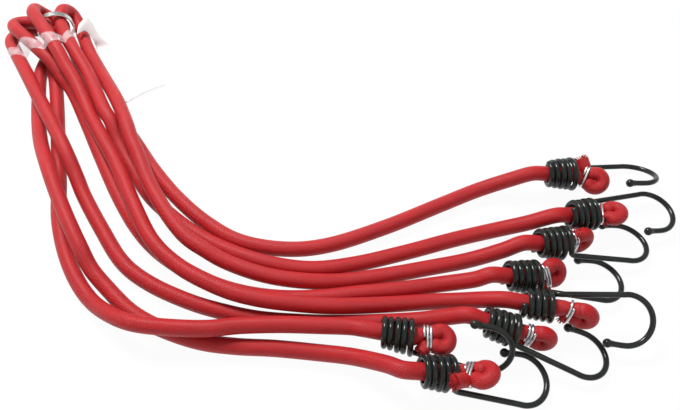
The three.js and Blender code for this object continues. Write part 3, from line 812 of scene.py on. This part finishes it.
def hook_line(flare):
    """A hook's whole wire: its coil, and one smooth line through its shank, its bend and its tip leg."""
    coil = coil_line(flare)
    knee = Vector((COIL_LENGTH + SHANK_KNEE, COIL_WOUND_SHARE * flare, -SHANK_KNEE))
    shank_start = Vector((COIL_LENGTH + SHANK_FILLET, flare, 0))
    shank_end = Vector((BEND_DISTANCE, SHANK_OFFSET, 0))
    bend_centre = Vector((BEND_DISTANCE, SHANK_OFFSET - BEND_RADIUS, 0))
    free = [coil[-1], knee]
    free += [shank_start.lerp(shank_end, i / SHANK_STEPS) for i in range(SHANK_STEPS + 1)]
    for i in range(1, BEND_STEPS + 1):
        angle = math.pi * i / BEND_STEPS
        free.append(bend_centre + Vector((math.sin(angle), math.cos(angle), 0)) * BEND_RADIUS)
    free += [free[-1].lerp(LEG_END, share) for share in (1 / 2, 1)]
    return coil[:-1] + catmull(free, STEPS_PER_SPAN)


def tip_profile():
    """Section of a ball tip: its neck round the wire, the ball as far as its pinhole, and the hollow."""
    ball, wire = TIP_BALL_DIAMETER / 2, WIRE_DIAMETER / 2
    start = math.asin(wire * NECK_OUTER_SHARE / ball)
    profile = [(TIP_NECK, wire * NECK_INNER_SHARE), (TIP_NECK, wire * NECK_OUTER_SHARE)]
    for k in range(TIP_RINGS + 1):
        angle = start + (math.pi - PINHOLE_HALF_ANGLE - start) * k / TIP_RINGS
        profile.append((ball * math.cos(angle), ball * math.sin(angle)))
    profile.append((-ball * HOLLOW_DEPTH_SHARE, wire * HOLLOW_WIDTH_SHARE))
    return profile


def make_hook(number):
    hook = HOOKS[number - 1]
    body = f"hook_{number}"
    place = coil_frame(hook) @ turn(hook["roll"], "X")
    line = [place @ point for point in hook_line(hook["flare"] * MM)]
    wire = tube(f"hook_{number}_coated_wire", line, WIRE_DIAMETER / 2, WIRE_SIDES)
    dress(wire, COATING, body, "hook_wire", f"hook_{number}_wire")
    tip = lathe(f"hook_{number}_ball_tip", tip_profile(), TIP_SIDES, place @ Matrix.Translation(LEG_END))
    dress(tip, COATING, body, "tip_cap", f"hook_{number}_tip_cap")


# Clips
def make_clip(number):
    """A wire wound tight round the two strands of an end loop."""
    turns = LOOP_LOOKS[number - 1]["turns"]
    place = loop_frame(number)
    seat = clip_seat(number)
    reach = PINCH_RADIUS + CLIP_WIRE_DIAMETER / 2
    steps = round((turns + CLIP_EXTRA_TURN_SHARE) * CLIP_STEPS)
    line = []
    for i in range(steps + 1):
        angle = math.tau * i / CLIP_STEPS
        squeeze = math.tanh(CLIP_CORNER_SHARPNESS * math.sin(angle)) / math.tanh(CLIP_CORNER_SHARPNESS)
        x = seat + (i / steps - 1 / 2) * turns * CLIP_PITCH
        y = squeeze * PINCH_RADIUS + reach * math.sin(angle)
        line.append(place @ Vector((x, y, reach * math.cos(angle))))
    clip = tube(f"clip_{number}_wire", line, CLIP_WIRE_DIAMETER / 2, CLIP_SIDES)
    dress(clip, CLIP_STEEL, "strap", "clip_steel", f"end_clip_{number}")


# Ring, tape and tag
def make_ring():
    outer = RING_INNER_RADIUS + RING_THICKNESS
    half = RING_WIDTH / 2
    profile = [
        (-half + RING_EDGE, RING_INNER_RADIUS), (half - RING_EDGE, RING_INNER_RADIUS),
        (half, RING_INNER_RADIUS + RING_EDGE), (half, outer - RING_EDGE),
        (half - RING_EDGE, outer), (-half + RING_EDGE, outer),
        (-half, outer - RING_EDGE), (-half, RING_INNER_RADIUS + RING_EDGE),
    ]
    place = Matrix.Translation(RING_CENTRE + SHIFT) @ Matrix.Rotation(RING_HEADING, 4, "Z")
    ring = lathe("ring_band", profile, RING_SIDES, place)
    ring.data.set_sharp_from_angle(angle=RING_CREASE)
    dress(ring, RING_STEEL, "strap", "ring_steel", "centre_ring")


def cords_as_ground(cords):
    """The cords' surface, for rays to meet."""
    meshes = [cord.data for cord in cords]
    vertices, faces, _ = joined(
        ([vertex.co for vertex in mesh.vertices], [polygon.vertices for polygon in mesh.polygons], [])
        for mesh in meshes
    )
    return BVHTree.FromPolygons(vertices, faces)


def film_heights(ground, row):
    """How high a film lies along a row: on the tops that rays from above meet, and falling beside them."""
    tops = []
    for point in row:
        hit = ground.ray_cast(point + UP * CAST_HEIGHT, -UP)[0]
        tops.append(hit.z if hit else 0)
    return [
        max(top - TAPE_STEEPEST_SLOPE * (there - here).length for there, top in zip(row, tops))
        for here in row
    ]


def make_tape(cords):
    """A film laid over the cords, which spans the gaps between them."""
    ground = cords_as_ground(cords)
    flat_shift = Vector((SHIFT.x, SHIFT.y, 0))
    centre = catmull([Vector((x, y, 0)) * MM + flat_shift for x, y in TAPE_ROUTE], TAPE_STEPS)
    heading = Vector((math.cos(RING_HEADING), math.sin(RING_HEADING), 0))
    rows = []
    for k in range(TAPE_ROWS + 1):
        row = [point + heading * TAPE_WIDTH * (k / TAPE_ROWS - 1 / 2) for point in centre]
        heights = film_heights(ground, row)
        rows.append([point + UP * (height + TAPE_LIFT) for point, height in zip(row, heights)])
    tape = sheet("tape_film_band", [list(column) for column in zip(*rows)], TAPE_THICKNESS)
    dress(tape, TAPE, "strap", "tape", "tape_band")


def tag_edge(corners):
    """The curl's points, then even steps along the flat part."""
    flat = [corners[-2].lerp(corners[-1], (i + 1) / TAG_FLAT_SPANS) for i in range(TAG_FLAT_SPANS)]
    return catmull(corners[:-1] + flat, TAG_STEPS)


def make_tag():
    left, right = (tag_edge([Vector(pair[side]) * MM + SHIFT for pair in TAG_EDGES]) for side in (0, 1))
    shares = [k / TAG_COLUMNS for k in range(TAG_COLUMNS + 1)]
    grid = []
    for here, there in zip(left, right):
        belly = UP * (there - here).length * TAG_BELLY_SHARE
        grid.append([here.lerp(there, share) + belly * math.sin(math.pi * share) for share in shares])
    tag = sheet("blank_card_tag", grid, TAG_THICKNESS)
    dress(tag, CARD, "strap", "card", "swing_tag")


# Floor and light
def make_studio():
    corners = [(-1, -1), (1, -1), (1, 1), (-1, 1)]
    floor = mesh_object("floor", [(x * FLOOR_REACH, y * FLOOR_REACH, 0) for x, y in corners], [(0, 1, 2, 3)])
    floor.data.materials.append(floor_material())
    for look in LAMPS:
        data = bpy.data.lights.new(look["name"], "AREA")
        data.size = look["size"]
        data.energy = look["power"]
        lamp = bpy.data.objects.new(look["name"], data)
        lamp.location = Vector(look["place"]) * MM
        lamp.rotation_euler = lamp.location.to_track_quat("Z", "Y").to_euler()
        bpy.context.scene.collection.objects.link(lamp)
    world = bpy.data.worlds.new("studio")
    world.use_nodes = True
    set_inputs(world.node_tree.nodes["Background"], {"Color": (*WHITE, 1.0), "Strength": WORLD_STRENGTH})
    bpy.context.scene.world = world


make_camera()
cord_pieces = make_cords()
for hook_number in range(1, len(HOOKS) + 1):
    make_hook(hook_number)
    make_clip(hook_number)
make_ring()
make_tape(cord_pieces)
make_tag()
make_studio()
bpy.context.scene.view_settings.view_transform = "Standard"
